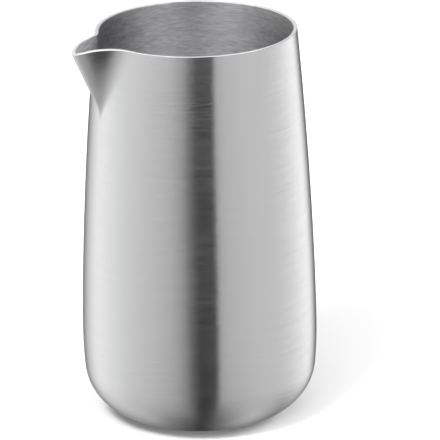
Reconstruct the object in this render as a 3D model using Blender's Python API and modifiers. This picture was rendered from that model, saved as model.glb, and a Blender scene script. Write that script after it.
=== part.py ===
"""Creamer without a handle: a necked steel jug with a pulled spout and a base disc welded in.

Metres, +Z up. The origin is the middle of the underside, and the spout points along -X.
"""
import math

import bmesh
import bpy

# Overall form
HEIGHT = 0.108
RIM_RADIUS = 0.0272
BELLY_RADIUS = 0.0318
BELLY_LEVEL = 0.024
NECK_POWER = 1.6
WALL = 0.001

# Rounded lower corner, an ellipse that the belly leans into
CORNER_WIDTH = 0.0156
CORNER_HEIGHT = 0.0149
BELLY_LEAN = math.radians(5.0)

# Pulled spout: its reach past the rim, the width of its foot along the rim and its depth below the rim.
# The ridge slopes evenly down to its root, and a toe on both sides of the root eases it into the wall.
SPOUT_REACH = 0.0098
SPOUT_WIDTH = 0.0388
SPOUT_DEPTH = 0.0194
SPOUT_TOE = 0.15
SPOUT_POWER = 5.0
SPOUT_TAPER = 0.7
SPOUT_DIP = 0.00184
DIP_POWER = 3.4

# The metal that feeds the spout draws the wall in and the rim down on both sides of it
DRAW_IN = 0.00041
RIM_SAG = 0.00031
DRAW_DEPTH = 0.0324
DRAW_SPREAD = math.radians(113.5)

# Base disc and the weld that fills the ring between it and the shell
SHELL_LAND = 0.0006
WELD_WIDTH = 0.001
WELD_CROWN = 0.00015
JOINT_GAP = 0.0003
PLATE_EDGE = 0.0002

# Facets: the tallest row in each stretch of the wall, and the columns round it
SPOUT_FACET = 0.0026
NECK_FACET = 0.017
CORNER_FACET = 0.0045
COLUMNS = 72
COLUMN_CROWDING = 0.6
MERGE = 0.00001
SHARP_EDGE = math.radians(40.0)
SQUARE_EDGE = math.radians(60.0)

# Steel of each piece: colour and roughness
SHELL_FINISH = ((0.60, 0.60, 0.61), 0.32)
PLATE_FINISH = ((0.56, 0.56, 0.57), 0.36)
WELD_FINISH = ((0.50, 0.50, 0.51), 0.42)

# Places that follow from the sizes above
CORNER_TURN = math.atan(math.tan(BELLY_LEAN) * CORNER_HEIGHT / CORNER_WIDTH)
BELLY_ARC = (BELLY_LEVEL - CORNER_HEIGHT * (1.0 - math.sin(CORNER_TURN))) / math.sin(BELLY_LEAN)
BELLY_SET_BACK = BELLY_ARC * (1.0 - math.cos(BELLY_LEAN))
CORNER_CENTRE = BELLY_RADIUS - BELLY_SET_BACK - CORNER_WIDTH * math.cos(CORNER_TURN)
SHELL_OPENING = CORNER_CENTRE - SHELL_LAND
WELD_OUTER = SHELL_OPENING - JOINT_GAP
WELD_INNER = WELD_OUTER - WELD_WIDTH
PLATE_RADIUS = WELD_INNER - JOINT_GAP


def clear_scene():
    """Remove every object that the scene starts with."""
    for obj in list(bpy.data.objects):
        bpy.data.objects.remove(obj, do_unlink=True)


def make_material(name, colour, roughness):
    """Return a metal with one colour and roughness."""
    material = bpy.data.materials.new(name)
    material.use_nodes = True
    shader = material.node_tree.nodes["Principled BSDF"]
    shader.inputs["Base Color"].default_value = (*colour, 1.0)
    shader.inputs["Metallic"].default_value = 1.0
    shader.inputs["Roughness"].default_value = roughness
    material.diffuse_color = (*colour, 1.0)
    return material


def add_object(name, mesh, material, collection, parent):
    """Put a mesh in the collection as one named part of the creamer."""
    mesh.materials.clear()
    mesh.materials.append(material)
    obj = bpy.data.objects.new(name, mesh)
    collection.objects.link(obj)
    obj.parent = parent
    return obj


def spaced(start, end, length, facet):
    """Return evenly spaced values after start, up to end, along a stretch with rows of at most a facet."""
    steps = math.ceil(length / facet)
    return [start + (end - start) * (i + 1) / steps for i in range(steps)]


def neck_radius(height):
    """Return the outer radius of the round wall between the belly and the rim."""
    share = max((height - BELLY_LEVEL) / (HEIGHT - BELLY_LEVEL), 0.0)
    return BELLY_RADIUS - (BELLY_RADIUS - RIM_RADIUS) * share ** NECK_POWER


def shell_profile():
    """Return the outer side from the rim down to the opening that the base closes."""
    spout_root = HEIGHT - SPOUT_DEPTH * (1.0 + SPOUT_TOE)
    heights = [HEIGHT]
    heights += spaced(HEIGHT, spout_root, HEIGHT - spout_root, SPOUT_FACET)
    heights += spaced(spout_root, BELLY_LEVEL, spout_root - BELLY_LEVEL, NECK_FACET)
    points = [(neck_radius(height), height) for height in heights]
    for turn in spaced(0.0, BELLY_LEAN, BELLY_ARC * BELLY_LEAN, CORNER_FACET):
        radius = BELLY_RADIUS - BELLY_ARC * (1.0 - math.cos(turn))
        points.append((radius, BELLY_LEVEL - BELLY_ARC * math.sin(turn)))
    quarter = math.pi / 2.0
    corner_length = (quarter - CORNER_TURN) * (CORNER_WIDTH + CORNER_HEIGHT) / 2.0
    for turn in spaced(CORNER_TURN, quarter, corner_length, CORNER_FACET):
        radius = CORNER_CENTRE + CORNER_WIDTH * math.cos(turn)
        points.append((radius, CORNER_HEIGHT * (1.0 - math.sin(turn))))
    points.append((SHELL_OPENING, 0.0))
    return points


def weld_profile():
    """Return the weld's section: flush underneath, with a low crown inside the jug."""
    middle = (WELD_INNER + WELD_OUTER) / 2.0
    return [
        (middle, WALL + WELD_CROWN),
        (WELD_OUTER, WALL),
        (WELD_OUTER, 0.0),
        (WELD_INNER, 0.0),
        (WELD_INNER, WALL),
    ]


def turned_mesh(name, profile, closed):
    """Turn a profile of radius and height about the jug's axis into a mesh."""
    edges = [(i, i + 1) for i in range(len(profile) - 1)]
    if closed:
        edges.append((len(profile) - 1, 0))
    outline = bpy.data.meshes.new(name + "_outline")
    outline.from_pydata([(radius, 0.0, height) for radius, height in profile], edges, [])
    turner = bpy.data.objects.new(name + "_outline", outline)
    bpy.context.scene.collection.objects.link(turner)
    turn = turner.modifiers.new("Turn", "SCREW")
    turn.axis = "Z"
    turn.angle = 2.0 * math.pi
    turn.steps = COLUMNS
    turn.render_steps = COLUMNS
    turn.use_merge_vertices = True
    turn.merge_threshold = MERGE
    mesh = bpy.data.meshes.new_from_object(turner.evaluated_get(bpy.context.evaluated_depsgraph_get()))
    mesh.name = name
    bpy.data.objects.remove(turner, do_unlink=True)
    bpy.data.meshes.remove(outline)
    return mesh


def bell(share, power):
    """Return a smooth hump: one in the middle, and zero from a share of one outwards."""
    reach = min(abs(share), 1.0)
    return (0.5 + 0.5 * math.cos(math.pi * reach)) ** power


def fade(height, depth):
    """Return how far a height lies up a band of this depth below the rim, from zero to one."""
    return min(max((height - HEIGHT + depth) / depth, 0.0), 1.0)


def spout_rise(height):
    """Return how much of its reach the spout has at a height: zero below its toe and one at the rim."""
    share = (height - HEIGHT + SPOUT_DEPTH) / SPOUT_DEPTH
    eased = min(max(share + SPOUT_TOE, 0.0), 2.0 * SPOUT_TOE)
    return eased ** 2 / (4.0 * SPOUT_TOE) + max(share - SPOUT_TOE, 0.0)


def pull_point(radius, angle, height):
    """Return a wall point's radius and height after the spout is pulled, with angle zero at the spout."""
    rise = spout_rise(height)
    half_angle = SPOUT_WIDTH / (2.0 * RIM_RADIUS) * rise ** SPOUT_TAPER
    lip = bell(angle / half_angle, SPOUT_POWER) if rise > 0.0 else 0.0
    drawn = bell(angle / DRAW_SPREAD, 1.0) * fade(height, DRAW_DEPTH) ** 2
    pulled_radius = radius + SPOUT_REACH * rise * lip - DRAW_IN * drawn
    pulled_height = height - SPOUT_DIP * rise * lip ** DIP_POWER - RIM_SAG * drawn
    return pulled_radius, pulled_height


def pull_spout(mesh):
    """Crowd the columns of a turned wall towards -X and pull the spout out of it there."""
    for vertex in mesh.vertices:
        x, y, height = vertex.co
        around = math.atan2(-y, -x)
        angle = around - COLUMN_CROWDING * math.sin(around)
        radius, height = pull_point(math.hypot(x, y), angle, height)
        vertex.co = (-radius * math.cos(angle), -radius * math.sin(angle), height)


def smooth_round(mesh):
    """Shade a round piece smooth, with its square edges kept sharp."""
    mesh.shade_smooth()
    mesh.set_sharp_from_angle(angle=SHARP_EDGE)


def build_shell(material, collection, parent):
    """Make the one sheet that is the side wall, the lower corner and the spout."""
    mesh = turned_mesh("body_shell", shell_profile(), closed=False)
    pull_spout(mesh)
    smooth_round(mesh)
    shell = add_object("body_shell", mesh, material, collection, parent)
    sheet = shell.modifiers.new("Sheet", "SOLIDIFY")
    sheet.thickness = WALL
    sheet.offset = -1.0
    sheet.use_even_offset = True
    sheet.use_quality_normals = True


def build_plate(material, collection, parent):
    """Make the flat base disc, with its edge eased for the weld."""
    mesh = bpy.data.meshes.new("base_plate")
    disc = bmesh.new()
    bmesh.ops.create_cone(
        disc, cap_ends=True, segments=COLUMNS, radius1=PLATE_RADIUS, radius2=PLATE_RADIUS, depth=WALL
    )
    bmesh.ops.translate(disc, verts=disc.verts, vec=(0.0, 0.0, WALL / 2.0))
    disc.to_mesh(mesh)
    disc.free()
    smooth_round(mesh)
    plate = add_object("base_plate", mesh, material, collection, parent)
    ease = plate.modifiers.new("Ease", "BEVEL")
    ease.width = PLATE_EDGE
    ease.segments = 1
    ease.limit_method = "ANGLE"
    ease.angle_limit = SQUARE_EDGE


def build_weld(material, collection, parent):
    """Make the ring of weld metal between the shell and the base disc."""
    mesh = turned_mesh("base_weld", weld_profile(), closed=True)
    smooth_round(mesh)
    add_object("base_weld", mesh, material, collection, parent)


def main():
    """Build the creamer."""
    clear_scene()
    collection = bpy.data.collections.new("creamer")
    bpy.context.scene.collection.children.link(collection)
    origin = bpy.data.objects.new("creamer_origin", None)
    collection.objects.link(origin)
    build_shell(make_material("satin_steel", *SHELL_FINISH), collection, origin)
    build_plate(make_material("pressed_steel", *PLATE_FINISH), collection, origin)
    build_weld(make_material("weld_steel", *WELD_FINISH), collection, origin)


if __name__ == "__main__":
    main()
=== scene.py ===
"""Looks of a creamer without a handle, in satin steel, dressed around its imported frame.

Metres, +Z up, as in the frame. The jug stands on the origin and its spout points along -X.
"""
import logging
import math
from dataclasses import dataclass, field
from enum import Enum
from typing import Any

import bmesh
import bpy
from mathutils import Matrix, Vector


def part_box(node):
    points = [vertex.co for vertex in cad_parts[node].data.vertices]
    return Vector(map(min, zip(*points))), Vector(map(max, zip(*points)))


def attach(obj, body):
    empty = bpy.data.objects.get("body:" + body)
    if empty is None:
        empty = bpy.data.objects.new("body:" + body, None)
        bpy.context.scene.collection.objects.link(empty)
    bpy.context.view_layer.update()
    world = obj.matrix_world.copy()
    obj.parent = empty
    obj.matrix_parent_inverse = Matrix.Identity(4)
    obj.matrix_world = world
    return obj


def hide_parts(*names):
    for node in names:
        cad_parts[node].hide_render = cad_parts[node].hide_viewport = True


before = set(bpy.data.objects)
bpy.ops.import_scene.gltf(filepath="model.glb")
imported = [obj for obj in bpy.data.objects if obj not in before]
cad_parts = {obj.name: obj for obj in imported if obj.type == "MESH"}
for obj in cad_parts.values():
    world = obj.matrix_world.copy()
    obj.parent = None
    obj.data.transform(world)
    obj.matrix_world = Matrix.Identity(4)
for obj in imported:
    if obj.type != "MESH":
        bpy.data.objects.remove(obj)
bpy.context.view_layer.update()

LOG = logging.getLogger("creamer")
BODY = "root"
SHELL_NODE = "body_shell"
PLATE_NODE = "base_plate"
WELD_NODE = "base_weld"
MM = 0.001
MERGE = 0.000005
FULL_TURN = 2.0 * math.pi
WHITE = "#FFFFFF"

# Brush lines: fine ones and broader, longer ones are mixed, and their contrast is then raised.
# The map's U runs along the lines, and a quarter turn lays the blur of the reflections across them.
BRUSH_MAP = "brush"
TRAVEL = "travel"
ACROSS_LINES = 0.25
LINE_LAYERS = (1.0, 4.0)
BROAD_SHARE = 0.4
LINE_DETAIL = 2.0
LINE_ROUGHNESS = 0.6
LINE_LOW = 0.3
LINE_HIGH = 0.7

# Sockets of a Mix node by number, because those for numbers and for colours share their names.
MIX_SHARE = 0
NUMBER_FROM = 2
NUMBER_TO = 3
NUMBER_MIXED = 0
COLOUR_FROM = 6
COLOUR_TO = 7
COLOUR_MIXED = 2


def linear(colour: str) -> tuple[float, float, float, float]:
    """Turn an sRGB hex colour to a linear colour with full alpha.

    Args:
        colour: The colour as "#RRGGBB".

    Returns:
        Linear red, green, blue and alpha.
    """
    shares = [int(colour[i:i + 2], 16) / 255.0 for i in (1, 3, 5)]
    red, green, blue = [s / 12.92 if s <= 0.04045 else ((s + 0.055) / 1.055) ** 2.4 for s in shares]
    return red, green, blue, 1.0


def add_node(
    tree: bpy.types.NodeTree,
    kind: str,
    settings: dict[str, Any] | None = None,
    inputs: dict[str | int, Any] | None = None,
) -> bpy.types.Node:
    """Add a node with its settings and links.

    Args:
        tree: The node tree that takes the node.
        kind: The node's type name.
        settings: Values for the node's own properties.
        inputs: A value, or an output socket to link, for each input by name or number.

    Returns:
        The new node.
    """
    node = tree.nodes.new(kind)
    for name, value in (settings or {}).items():
        setattr(node, name, value)
    for key, value in (inputs or {}).items():
        if isinstance(value, bpy.types.NodeSocket):
            tree.links.new(value, node.inputs[key])
        else:
            node.inputs[key].default_value = value
    return node


class Side(Enum):
    """Which side of the sheet a finish lies on, as the number of its material slot."""

    OUTSIDE = 0
    INSIDE = 1
    EDGE = 2


@dataclass(frozen=True)
class BrushedSteel:
    """Stainless steel with fine brush lines, which blur its reflections across themselves."""

    name: str
    colour: str
    line_colour: str
    roughness: float
    roughness_swing: float
    anisotropy: float
    line_spacing_mm: float
    line_length_mm: float
    line_depth_mm: float

    def material(self) -> bpy.types.Material:
        """Make the material, with its lines along the brush map's U direction.

        Returns:
            The new material.
        """
        material = bpy.data.materials.new(self.name)
        material.use_nodes = True
        tree = material.node_tree
        shader = tree.nodes["Principled BSDF"]
        lines = self._lines(tree)
        colour = add_node(tree, "ShaderNodeMix", {"data_type": "RGBA"}, {
            MIX_SHARE: lines, COLOUR_FROM: linear(self.line_colour), COLOUR_TO: linear(self.colour),
        })
        roughness = add_node(tree, "ShaderNodeMapRange", None, {
            "Value": lines,
            "To Min": self.roughness + self.roughness_swing,
            "To Max": self.roughness - self.roughness_swing,
        })
        bump = add_node(tree, "ShaderNodeBump", None, {
            "Strength": 1.0, "Distance": self.line_depth_mm * MM, "Height": lines,
        })
        tangent = add_node(tree, "ShaderNodeTangent", {"direction_type": "UV_MAP", "uv_map": BRUSH_MAP})
        shader.inputs["Metallic"].default_value = 1.0
        shader.inputs["Anisotropic"].default_value = self.anisotropy
        shader.inputs["Anisotropic Rotation"].default_value = ACROSS_LINES
        tree.links.new(colour.outputs[COLOUR_MIXED], shader.inputs["Base Color"])
        tree.links.new(roughness.outputs["Result"], shader.inputs["Roughness"])
        tree.links.new(bump.outputs["Normal"], shader.inputs["Normal"])
        tree.links.new(tangent.outputs["Tangent"], shader.inputs["Tangent"])
        return material

    def _lines(self, tree: bpy.types.NodeTree) -> bpy.types.NodeSocket:
        """Draw the brush lines: fine ones with broader, longer ones among them.

        Args:
            tree: The material's node tree.

        Returns:
            The lines' height, from zero to one.
        """
        place = add_node(tree, "ShaderNodeTexCoord")
        across = add_node(tree, "ShaderNodeUVMap", {"uv_map": BRUSH_MAP})
        around = add_node(tree, "ShaderNodeSeparateXYZ", None, {"Vector": place.outputs["Object"]})
        travel = add_node(tree, "ShaderNodeSeparateXYZ", None, {"Vector": across.outputs["UV"]})
        drawn = add_node(tree, "ShaderNodeCombineXYZ", None, {
            "X": around.outputs["X"], "Y": around.outputs["Y"], "Z": travel.outputs["Y"],
        })
        layers = []
        for breadth in LINE_LAYERS:
            along = 1.0 / (self.line_length_mm * MM * breadth)
            apart = 1.0 / (self.line_spacing_mm * MM * breadth)
            stretched = add_node(tree, "ShaderNodeVectorMath", {"operation": "MULTIPLY"}, {
                0: drawn.outputs["Vector"], 1: (along, along, apart),
            })
            noise = add_node(tree, "ShaderNodeTexNoise", None, {
                "Vector": stretched.outputs["Vector"], "Scale": 1.0,
                "Detail": LINE_DETAIL, "Roughness": LINE_ROUGHNESS,
            })
            layers.append(noise.outputs["Fac"])
        both = add_node(tree, "ShaderNodeMix", {"data_type": "FLOAT"}, {
            MIX_SHARE: BROAD_SHARE, NUMBER_FROM: layers[0], NUMBER_TO: layers[1],
        })
        clear = add_node(tree, "ShaderNodeMapRange", None, {
            "Value": both.outputs[NUMBER_MIXED], "From Min": LINE_LOW, "From Max": LINE_HIGH,
        })
        return clear.outputs["Result"]


# Real brush lines are about 0.05 mm apart. All lines below are drawn six to ten times as coarse, to show.

# Stainless sheet turned against a fine belt. The eye sees soft upright bands of light and dark, because
# the lines spread each reflection up and down, with faint level streaks where a band is dark.
OUTSIDE_STEEL = BrushedSteel(
    name="satin_steel_outside",
    colour="#CACACB",
    line_colour="#C9C9CA",
    roughness=0.24,
    roughness_swing=0.025,
    anisotropy=1.0,
    line_spacing_mm=0.5,
    line_length_mm=8.0,
    line_depth_mm=0.042,
)

# The same sheet brushed by hand inside, with a coarser pad. The eye sees short light and dark strokes.
INSIDE_STEEL = BrushedSteel(
    name="satin_steel_inside",
    colour="#F4F4F5",
    line_colour="#BABABC",
    roughness=0.34,
    roughness_swing=0.02,
    anisotropy=0.97,
    line_spacing_mm=0.4,
    line_length_mm=2.4,
    line_depth_mm=0.012,
)

# The sheet's cut edge, ground and buffed. The eye sees one thin, even, pale line round the rim.
EDGE_STEEL = BrushedSteel(
    name="ground_steel_edge",
    colour="#D2D2D3",
    line_colour="#CCCCCE",
    roughness=0.32,
    roughness_swing=0.02,
    anisotropy=0.4,
    line_spacing_mm=0.3,
    line_length_mm=6.0,
    line_depth_mm=0.001,
)

# Stainless disc brushed in circles. The eye sees a bright fan that turns about its middle.
PLATE_STEEL = BrushedSteel(
    name="satin_steel_base",
    colour="#C8C8CA",
    line_colour="#BEBEC1",
    roughness=0.4,
    roughness_swing=0.03,
    anisotropy=0.8,
    line_spacing_mm=0.3,
    line_length_mm=14.0,
    line_depth_mm=0.003,
)

# Weld metal ground by hand. The eye sees a duller and slightly warmer ring, with short marks along it.
WELD_STEEL = BrushedSteel(
    name="ground_steel_weld",
    colour="#BCBBB9",
    line_colour="#B0AEAB",
    roughness=0.48,
    roughness_swing=0.04,
    anisotropy=0.3,
    line_spacing_mm=0.35,
    line_length_mm=2.0,
    line_depth_mm=0.006,
)

SHEET_FINISH = {Side.OUTSIDE: OUTSIDE_STEEL, Side.INSIDE: INSIDE_STEEL, Side.EDGE: EDGE_STEEL}


def spaced(start: float, end: float, steps: int) -> list[float]:
    """Return evenly spaced values.

    Args:
        start: The value before the first one.
        end: The last value.
        steps: How many values.

    Returns:
        The values after start, up to end.
    """
    return [start + (end - start) * (i + 1) / steps for i in range(steps)]


def bell(share: float, power: float) -> float:
    """Return a smooth hump.

    Args:
        share: The place on the hump: zero in the middle, one at its foot.
        power: How much the hump is sharpened.

    Returns:
        One in the middle, and zero from the foot outwards.
    """
    return (0.5 + 0.5 * math.cos(math.pi * min(abs(share), 1.0))) ** power


def turn_profile(profile: list[tuple[float, float]], columns: int, closed: bool) -> bmesh.types.BMesh:
    """Spin a profile round the jug's axis and note how far each row lies along it.

    Args:
        profile: Radius and height of each point, down the outer side.
        columns: Columns of faces round the axis.
        closed: Whether the profile's last point joins its first.

    Returns:
        The turned surface, with faces pointing out and the distances in a vertex layer.
    """
    turned = bmesh.new()
    layer = turned.verts.layers.float.new(TRAVEL)
    points = []
    travel = 0.0
    for radius, height in profile:
        point = turned.verts.new((-radius, 0.0, height))
        if points:
            travel += (point.co - points[-1].co).length
        point[layer] = travel
        points.append(point)
    edges = [turned.edges.new(pair) for pair in zip(points, points[1:])]
    if closed:
        edges.append(turned.edges.new((points[-1], points[0])))
    bmesh.ops.spin(
        turned, geom=points + edges, cent=(0.0, 0.0, 0.0), axis=(0.0, 0.0, 1.0),
        angle=FULL_TURN, steps=columns, use_merge=True,
    )
    bmesh.ops.remove_doubles(turned, verts=turned.verts, dist=MERGE)
    bmesh.ops.recalc_face_normals(turned, faces=turned.faces)
    return turned


def map_brush(turned: bmesh.types.BMesh, radius: float) -> None:
    """Lay a map on a turned surface: U runs round the axis and V down the profile, in metres.

    Args:
        turned: The surface, with its layer of distances.
        radius: The radius at which U is true to size.
    """
    layer = turned.verts.layers.float[TRAVEL]
    uv = turned.loops.layers.uv.new(BRUSH_MAP)
    for face in turned.faces:
        angles = [math.atan2(loop.vert.co.y, loop.vert.co.x) for loop in face.loops]
        crosses = max(angles) - min(angles) > math.pi
        for loop, angle in zip(face.loops, angles):
            unrolled = angle + FULL_TURN if crosses and angle < 0.0 else angle
            loop[uv].uv = (unrolled * radius, loop.vert[layer])


def finish_piece(name: str, shape: bmesh.types.BMesh) -> bpy.types.Object:
    """Turn a bmesh into a smooth object at the origin and free the bmesh.

    Args:
        name: The piece's name.
        shape: The piece's shape, in place.

    Returns:
        The new object, linked to the scene.
    """
    mesh = bpy.data.meshes.new(name)
    shape.to_mesh(mesh)
    shape.free()
    mesh.shade_smooth()
    piece = bpy.data.objects.new(name, mesh)
    bpy.context.scene.collection.objects.link(piece)
    return piece


def place_piece(piece: bpy.types.Object, node: str) -> None:
    """Put a piece on the jug's body in place of a frame node and report it.

    Args:
        piece: The dressed piece.
        node: The node that it stands for.
    """
    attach(piece, BODY)
    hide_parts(node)
    LOG.info("%s replaces %s, %d faces", piece.name, node, len(piece.data.polygons))


@dataclass
class BodyShell:
    """The one sheet that is the side wall, the lower corner and the pulled spout."""

    height: float
    belly_radius: float
    rim_radius: float = 0.0272
    belly_level: float = 0.024
    neck_power: float = 1.6
    wall: float = 0.001

    # Rounded lower corner, an ellipse that the belly leans into
    corner_width: float = 0.0156
    corner_height: float = 0.0149
    belly_lean: float = math.radians(5.0)

    # Pulled spout, with a toe that eases its root into the wall
    spout_reach: float = 0.0098
    spout_width: float = 0.0388
    spout_depth: float = 0.0194
    spout_toe: float = 0.15
    spout_power: float = 5.0
    spout_taper: float = 0.7
    spout_dip: float = 0.00184
    dip_power: float = 3.4

    # The metal that feeds the spout draws the wall in and the rim down on both sides of it
    draw_in: float = 0.00041
    rim_sag: float = 0.00031
    draw_depth: float = 0.0324
    draw_spread: float = math.radians(113.5)

    # Flat land round the base opening, and the eased edges there and at the rim
    land: float = 0.0006
    edge_round: float = 0.0001
    edge_segments: int = 3
    edge_angle: float = math.radians(60.0)

    # Rows of facets down the wall, and columns round it that crowd towards the spout
    spout_rows: int = 48
    neck_rows: int = 24
    belly_rows: int = 8
    corner_rows: int = 28
    columns: int = 300
    crowding: float = 0.7

    # Places in the lower corner that follow from the sizes above
    corner_turn: float = field(init=False)
    belly_arc: float = field(init=False)
    corner_centre: float = field(init=False)
    opening: float = field(init=False)

    def __post_init__(self) -> None:
        """Work out the lower corner from the sizes."""
        lean = math.tan(self.belly_lean)
        self.corner_turn = math.atan(lean * self.corner_height / self.corner_width)
        corner_top = self.corner_height * (1.0 - math.sin(self.corner_turn))
        self.belly_arc = (self.belly_level - corner_top) / math.sin(self.belly_lean)
        set_back = self.belly_arc * (1.0 - math.cos(self.belly_lean))
        corner_reach = self.corner_width * math.cos(self.corner_turn)
        self.corner_centre = self.belly_radius - set_back - corner_reach
        self.opening = self.corner_centre - self.land

    def profile(self) -> list[tuple[float, float]]:
        """Draw the outer side from the rim down to the base opening.

        Returns:
            Radius and height of each point.
        """
        root = self.height - self.spout_depth * (1.0 + self.spout_toe)
        heights = [self.height]
        heights += spaced(self.height, root, self.spout_rows)
        heights += spaced(root, self.belly_level, self.neck_rows)
        points = [(self._neck_radius(height), height) for height in heights]
        for turn in spaced(0.0, self.belly_lean, self.belly_rows):
            radius = self.belly_radius - self.belly_arc * (1.0 - math.cos(turn))
            points.append((radius, self.belly_level - self.belly_arc * math.sin(turn)))
        for turn in spaced(self.corner_turn, math.pi / 2.0, self.corner_rows):
            radius = self.corner_centre + self.corner_width * math.cos(turn)
            points.append((radius, self.corner_height * (1.0 - math.sin(turn))))
        points.append((self.opening, 0.0))
        return points

    def build(self) -> bpy.types.Object:
        """Spin the wall, pull its spout and give the sheet its thickness and eased edges.

        Returns:
            The bare shell.
        """
        turned = turn_profile(self.profile(), self.columns, closed=False)
        for vertex in turned.verts:
            self._pull(vertex)
        map_brush(turned, self.belly_radius)
        shell = finish_piece("steel_body_shell", turned)
        sheet = shell.modifiers.new("Sheet", "SOLIDIFY")
        sheet.thickness = self.wall
        sheet.offset = -1.0
        sheet.use_even_offset = True
        sheet.use_quality_normals = True
        sheet.material_offset = Side.INSIDE.value
        sheet.material_offset_rim = Side.EDGE.value
        eased = shell.modifiers.new("Eased edges", "BEVEL")
        eased.width = self.edge_round
        eased.segments = self.edge_segments
        eased.use_clamp_overlap = False
        eased.limit_method = "ANGLE"
        eased.angle_limit = self.edge_angle
        return shell

    def dress(self, shell: bpy.types.Object) -> None:
        """Give the shell a finish for each side of its sheet and put it on the frame.

        Args:
            shell: The bare shell.
        """
        for side in Side:
            shell.data.materials.append(SHEET_FINISH[side].material())
        place_piece(shell, SHELL_NODE)

    def _neck_radius(self, height: float) -> float:
        """Return the outer radius of the round wall at a height between the belly and the rim."""
        share = max((height - self.belly_level) / (self.height - self.belly_level), 0.0)
        return self.belly_radius - (self.belly_radius - self.rim_radius) * share ** self.neck_power

    def _fade(self, height: float, depth: float) -> float:
        """Return how far a height lies up a band of this depth below the rim, from zero to one."""
        return min(max((height - self.height + depth) / depth, 0.0), 1.0)

    def _rise(self, height: float) -> float:
        """Work out the spout's ridge: straight, with an eased toe at its root.

        Args:
            height: A height on the turned wall.

        Returns:
            How much of the spout's reach that height has.
        """
        share = (height - self.height + self.spout_depth) / self.spout_depth
        eased = min(max(share + self.spout_toe, 0.0), 2.0 * self.spout_toe)
        return eased ** 2 / (4.0 * self.spout_toe) + max(share - self.spout_toe, 0.0)

    def _pull(self, vertex: bmesh.types.BMVert) -> None:
        """Move a wall point to where it lies once the spout is pulled.

        Args:
            vertex: A point of the turned wall, with the spout at -X.
        """
        x, y, height = vertex.co
        around = math.atan2(-y, -x)
        angle = around - self.crowding * math.sin(around)
        rise = self._rise(height)
        half_angle = self.spout_width / (2.0 * self.rim_radius) * rise ** self.spout_taper
        lip = bell(angle / half_angle, self.spout_power) if rise > 0.0 else 0.0
        drawn = bell(angle / self.draw_spread, 1.0) * self._fade(height, self.draw_depth) ** 2
        radius = math.hypot(x, y) + self.spout_reach * rise * lip - self.draw_in * drawn
        height -= self.spout_dip * rise * lip ** self.dip_power + self.rim_sag * drawn
        vertex.co = (-radius * math.cos(angle), -radius * math.sin(angle), height)


@dataclass
class BasePlate:
    """The flat disc that closes the shell's lower opening."""

    radius: float
    wall: float
    edge_round: float = 0.0002
    ring_shares: tuple[float, ...] = (0.3, 0.6, 0.9)
    columns: int = 160

    def build(self) -> bpy.types.Object:
        """Spin the disc from its section, with its lower and upper edges eased.

        Returns:
            The bare disc.
        """
        rim = self.radius
        ease = self.edge_round
        rings = [rim * share for share in self.ring_shares]
        profile = [(radius, self.wall) for radius in [0.0] + rings]
        profile += [(rim - ease, self.wall), (rim, self.wall - ease), (rim, ease), (rim - ease, 0.0)]
        profile += [(radius, 0.0) for radius in rings[::-1] + [0.0]]
        turned = turn_profile(profile, self.columns, closed=False)
        map_brush(turned, rim)
        return finish_piece("steel_base_plate", turned)

    def dress(self, plate: bpy.types.Object) -> None:
        """Give the disc its finish and put it on the frame.

        Args:
            plate: The bare disc.
        """
        plate.data.materials.append(PLATE_STEEL.material())
        place_piece(plate, PLATE_NODE)


@dataclass
class BaseWeld:
    """The ring of weld metal that is melted to the shell and to the base disc."""

    outer: float
    inner: float
    wall: float
    crown: float = 0.00012
    crown_rows: int = 8
    columns: int = 160

    def build(self) -> bpy.types.Object:
        """Spin the ring: ground flush underneath, with a low rounded crown inside the jug.

        Returns:
            The bare ring.
        """
        half = (self.outer - self.inner) / 2.0
        middle = self.inner + half
        profile = []
        for turn in spaced(math.pi, 0.0, self.crown_rows):
            profile.append((middle + half * math.cos(turn), self.wall + self.crown * math.sin(turn)))
        profile += [(self.outer, 0.0), (self.inner, 0.0), (self.inner, self.wall)]
        turned = turn_profile(profile, self.columns, closed=True)
        map_brush(turned, middle)
        return finish_piece("steel_base_weld", turned)

    def dress(self, weld: bpy.types.Object) -> None:
        """Give the ring its finish and put it on the frame.

        Args:
            weld: The bare ring.
        """
        weld.data.materials.append(WELD_STEEL.material())
        place_piece(weld, WELD_NODE)


@dataclass(frozen=True)
class Ring:
    """One ring of the light tent, which fades in over the ring below it between two elevations.

    Each stop is a bearing and a brightness. Angles are in degrees, and bearings count from the camera.
    """

    fade_from: float
    fade_to: float
    stops: tuple[tuple[float, float], ...]

    def draw(self, ramp: bpy.types.ColorRamp) -> None:
        """Set a ramp to the ring's stops.

        Args:
            ramp: A ramp that runs once round the tent and starts behind the jug.
        """
        while len(ramp.elements) < len(self.stops):
            ramp.elements.new(1.0)
        for element, (bearing, brightness) in zip(ramp.elements, self.stops):
            element.position = 0.5 + math.radians(bearing) / FULL_TURN
            element.color = (brightness, brightness, brightness, 1.0)


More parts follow.
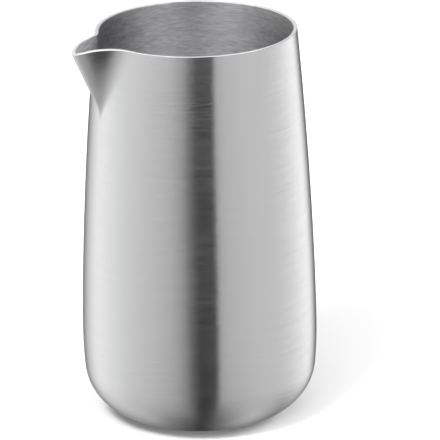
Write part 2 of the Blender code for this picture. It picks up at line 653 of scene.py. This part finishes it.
@dataclass(frozen=True)
class LightTent:
    """A soft tent of light round the jug, in rings from the bottom up.

    The bottom is dark, and the hem and the skirt are mostly dimmer than the walls. The gap at the camera
    gives the dark band down the front. The shoulder and the canopy light the rim and the inside.
    """

    camera_bearing: float
    bottom: str = "#505050"
    hem: Ring = Ring(-86.0, -62.0, (
        (-180.0, 0.05), (-140.0, 0.6), (-110.0, 0.78), (-80.0, 0.54), (-50.0, 0.54), (-20.0, 0.46),
        (0.0, 0.05), (20.0, 0.15), (50.0, 0.58), (80.0, 0.76), (110.0, 0.9), (145.0, 1.0), (180.0, 0.05),
    ))
    skirt: Ring = Ring(-70.0, -45.0, (
        (-180.0, 0.05), (-160.0, 0.2), (-140.0, 0.8), (-124.0, 0.95), (-112.0, 1.0), (-82.0, 0.76),
        (-53.0, 0.69), (-28.0, 0.47), (-16.0, 0.29), (-8.0, 0.13), (0.0, 0.03), (17.0, 0.06),
        (19.5, 0.32), (28.0, 0.42), (40.0, 0.51), (77.0, 0.7), (99.0, 0.62), (120.0, 0.5),
        (138.0, 0.4), (152.0, 0.3), (180.0, 0.05),
    ))
    walls: Ring = Ring(-45.0, -20.0, (
        (-180.0, 0.05), (-160.0, 0.27), (-140.0, 1.0), (-124.0, 1.44), (-112.0, 1.4), (-82.0, 1.08),
        (-53.0, 0.81), (-28.0, 0.63), (-16.0, 0.4), (-8.0, 0.13), (0.0, 0.01), (17.0, 0.01),
        (19.5, 0.66), (28.0, 0.76), (40.0, 0.78), (77.0, 0.94), (99.0, 1.18), (120.0, 1.5),
        (138.0, 1.6), (152.0, 0.6), (162.0, 0.1), (180.0, 0.05),
    ))
    shoulder: Ring = Ring(2.0, 10.0, (
        (-180.0, 1.05), (-150.0, 1.05), (-120.0, 1.1), (-90.0, 0.93), (-60.0, 0.78), (-30.0, 0.44),
        (-12.0, 0.17), (0.0, 0.01), (14.0, 0.01), (30.0, 0.5), (60.0, 0.64), (90.0, 0.3), (120.0, 0.01),
        (150.0, 0.2), (180.0, 1.05),
    ))
    canopy: Ring = Ring(31.0, 39.0, (
        (-180.0, 1.4), (-135.0, 1.4), (-90.0, 3.9), (-50.0, 4.6), (-28.0, 4.1), (-15.0, 3.4), (-6.0, 2.2),
        (3.0, 2.3), (15.0, 2.3), (32.0, 3.15), (60.0, 3.85), (95.0, 3.0), (135.0, 1.4), (180.0, 1.4),
    ))

    def build(self) -> None:
        """Make the world: the tent lights the jug, and the camera sees plain white behind it."""
        world = bpy.data.worlds.new("light_tent")
        world.use_nodes = True
        bpy.context.scene.world = world
        tree = world.node_tree
        tree.nodes.clear()
        way = add_node(tree, "ShaderNodeTexCoord")
        turned = add_node(tree, "ShaderNodeVectorRotate", {"rotation_type": "Z_AXIS"}, {
            "Vector": way.outputs["Generated"], "Angle": -self.camera_bearing,
        })
        parts = add_node(tree, "ShaderNodeSeparateXYZ", None, {"Vector": turned.outputs["Vector"]})
        bearing = add_node(tree, "ShaderNodeMath", {"operation": "ARCTAN2"}, {
            0: parts.outputs["Y"], 1: parts.outputs["X"],
        })
        around = add_node(tree, "ShaderNodeMapRange", None, {
            "Value": bearing.outputs["Value"], "From Min": -math.pi, "From Max": math.pi,
        })
        tent: Any = linear(self.bottom)
        for ring in (self.hem, self.skirt, self.walls, self.shoulder, self.canopy):
            share = add_node(tree, "ShaderNodeMapRange", None, {
                "Value": parts.outputs["Z"],
                "From Min": math.sin(math.radians(ring.fade_from)),
                "From Max": math.sin(math.radians(ring.fade_to)),
            })
            light = add_node(tree, "ShaderNodeValToRGB", None, {"Fac": around.outputs["Result"]})
            ring.draw(light.color_ramp)
            over = add_node(tree, "ShaderNodeMix", {"data_type": "RGBA"}, {
                MIX_SHARE: share.outputs["Result"], COLOUR_FROM: tent, COLOUR_TO: light.outputs["Color"],
            })
            tent = over.outputs[COLOUR_MIXED]
        path = add_node(tree, "ShaderNodeLightPath")
        seen = add_node(tree, "ShaderNodeMix", {"data_type": "RGBA"}, {
            MIX_SHARE: path.outputs["Is Camera Ray"], COLOUR_FROM: tent, COLOUR_TO: linear(WHITE),
        })
        glow = add_node(tree, "ShaderNodeBackground", None, {
            "Color": seen.outputs[COLOUR_MIXED], "Strength": 1.0,
        })
        add_node(tree, "ShaderNodeOutputWorld", None, {"Surface": glow.outputs["Background"]})


@dataclass(frozen=True)
class Lamp:
    """A square lamp aimed at the jug. Its angles are in degrees, and its bearing counts from the camera."""

    name: str
    bearing: float
    elevation: float
    size: float
    watts: float


@dataclass(frozen=True)
class Studio:
    """The pale floor, its lamps and the camera at the photograph's angle."""

    camera_distance: float = 1.296
    camera_height: float = 0.4847
    camera_azimuth: float = math.radians(-27.08)
    yaw: float = math.radians(0.26)
    pitch: float = math.radians(18.39)
    roll: float = math.radians(-0.753)
    lens_mm: float = 413.1
    sensor_mm: float = 36.0
    floor_size: float = 12.0
    floor_gap: float = 0.0001
    floor_colour: str = "#717171"
    floor_glow: float = 0.096
    lamp_distance: float = 1.6
    lamps: tuple[Lamp, ...] = (
        Lamp("key_lamp", -35.0, 50.0, 0.4, 107.0),
        Lamp("fill_lamp", 100.0, 30.0, 0.8, 107.0),
        Lamp("front_lamp", 0.0, 40.0, 1.9, 123.0),
    )

    def build(self) -> None:
        """Make the stage and set the scene's camera."""
        scene = bpy.context.scene
        scene.view_settings.view_transform = "Standard"
        LightTent(self._camera_bearing()).build()
        self._floor()
        for lamp in self.lamps:
            self._light(lamp)
        scene.camera = self._camera()

    def _camera_bearing(self) -> float:
        """Return the way from the jug to the camera, as an angle from +X."""
        return self.camera_azimuth - math.pi / 2.0

    def _floor(self) -> bpy.types.Object:
        """Make the matt floor, which the steel doesn't mirror.

        Its grey takes little light from the tent. The lamps and a faint glow bring it to white.

        Returns:
            The floor.
        """
        sheet = bmesh.new()
        bmesh.ops.create_grid(sheet, x_segments=1, y_segments=1, size=self.floor_size / 2.0)
        bmesh.ops.translate(sheet, verts=sheet.verts, vec=(0.0, 0.0, -self.floor_gap))
        paint = bpy.data.materials.new("matt_floor")
        paint.use_nodes = True
        shader = paint.node_tree.nodes["Principled BSDF"]
        shader.inputs["Base Color"].default_value = linear(self.floor_colour)
        shader.inputs["Roughness"].default_value = 1.0
        shader.inputs["Specular IOR Level"].default_value = 0.0
        shader.inputs["Emission Color"].default_value = linear(WHITE)
        shader.inputs["Emission Strength"].default_value = self.floor_glow
        floor = finish_piece("floor", sheet)
        floor.data.materials.append(paint)
        floor.visible_glossy = False
        return floor

    def _light(self, lamp: Lamp) -> None:
        """Make a lamp that only the floor catches, as the steel mirrors the tent alone.

        Args:
            lamp: The lamp.
        """
        data = bpy.data.lights.new(lamp.name, "AREA")
        data.energy = lamp.watts
        data.size = lamp.size
        light = bpy.data.objects.new(lamp.name, data)
        bearing = self._camera_bearing() + math.radians(lamp.bearing)
        elevation = math.radians(lamp.elevation)
        level = Vector((math.cos(bearing), math.sin(bearing), 0.0)) * math.cos(elevation)
        towards = level + Vector((0.0, 0.0, math.sin(elevation)))
        light.location = self.lamp_distance * towards
        light.rotation_euler = (-towards).to_track_quat("-Z", "Y").to_euler()
        light.visible_glossy = False
        bpy.context.scene.collection.objects.link(light)

    def _camera(self) -> bpy.types.Object:
        """Make the camera from its place, its aim and its roll.

        Returns:
            The camera.
        """
        data = bpy.data.cameras.new("camera")
        data.lens = self.lens_mm
        data.sensor_width = self.sensor_mm
        data.clip_end = self.floor_size
        camera = bpy.data.objects.new("camera", data)
        bpy.context.scene.collection.objects.link(camera)
        level = math.cos(self.pitch)
        ahead = Vector((math.sin(self.yaw) * level, math.cos(self.yaw) * level, -math.sin(self.pitch)))
        right = ahead.cross(Vector((0.0, 0.0, 1.0))).normalized()
        up = right.cross(ahead)
        tilted_right = math.cos(self.roll) * right + math.sin(self.roll) * up
        tilted_up = math.cos(self.roll) * up - math.sin(self.roll) * right
        aim = Matrix((tilted_right, tilted_up, -ahead)).transposed().to_4x4()
        swing = Matrix.Rotation(self.camera_azimuth, 4, "Z")
        place = Matrix.Translation((0.0, -self.camera_distance, self.camera_height))
        camera.matrix_world = swing @ place @ aim
        return camera


def main() -> None:
    """Build and dress the creamer on its frame, then make its stage."""
    logging.basicConfig(level=logging.INFO, format="%(name)s: %(message)s")
    _, shell_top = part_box(SHELL_NODE)
    _, plate_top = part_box(PLATE_NODE)
    shell = BodyShell(height=shell_top[2], belly_radius=shell_top[0])
    plate = BasePlate(radius=plate_top[0], wall=shell.wall)
    weld = BaseWeld(outer=shell.opening, inner=plate.radius, wall=shell.wall)
    for part in (shell, plate, weld):
        part.dress(part.build())
    Studio().build()


if __name__ == "__main__":
    main()
